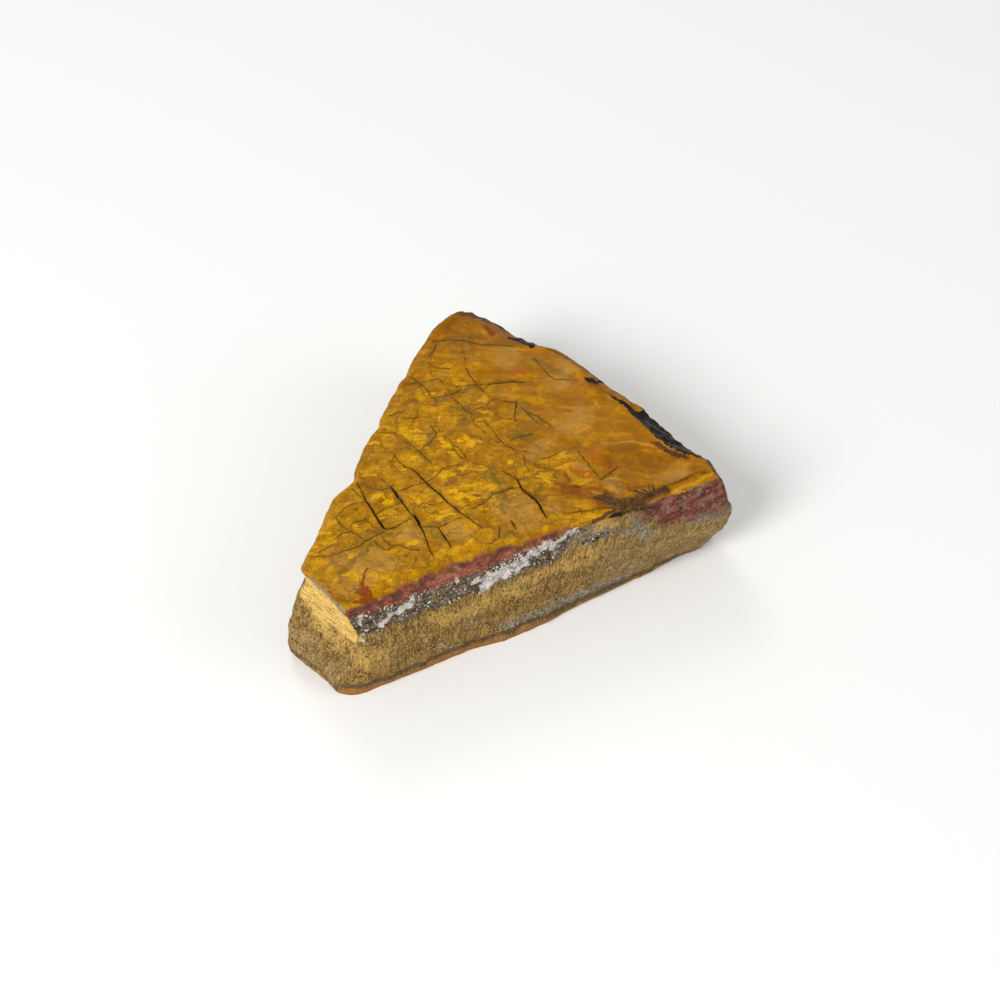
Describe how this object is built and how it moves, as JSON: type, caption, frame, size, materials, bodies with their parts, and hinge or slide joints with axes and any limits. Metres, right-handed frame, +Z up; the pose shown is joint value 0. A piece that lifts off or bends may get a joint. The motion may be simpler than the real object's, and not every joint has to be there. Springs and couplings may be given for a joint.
{
  "type": "rough tiger's eye stone",
  "caption": "Rough slab of golden tiger's eye, a broken triangular seam piece with a cracked top face, layered fibrous walls and a flat underside.",
  "frame": {"origin": "middle of the flat underside, on the surface that the stone lies on", "axes": "+X along the long straight front face, from its short left end to its right-hand corner; +Z up, through the thickness of the seam; +Y from the front face to the apex at the back"},
  "size_m": [0.089, 0.0695, 0.0224],
  "materials": {
    "tigers_eye": "rough broken stone with a silky fibrous lustre, golden brown, with dark, red and white bands on the walls"
  },
  "bodies": {
    "root": {"tigers_eye_stone": "tigers_eye"}
  },
  "joints": []
}
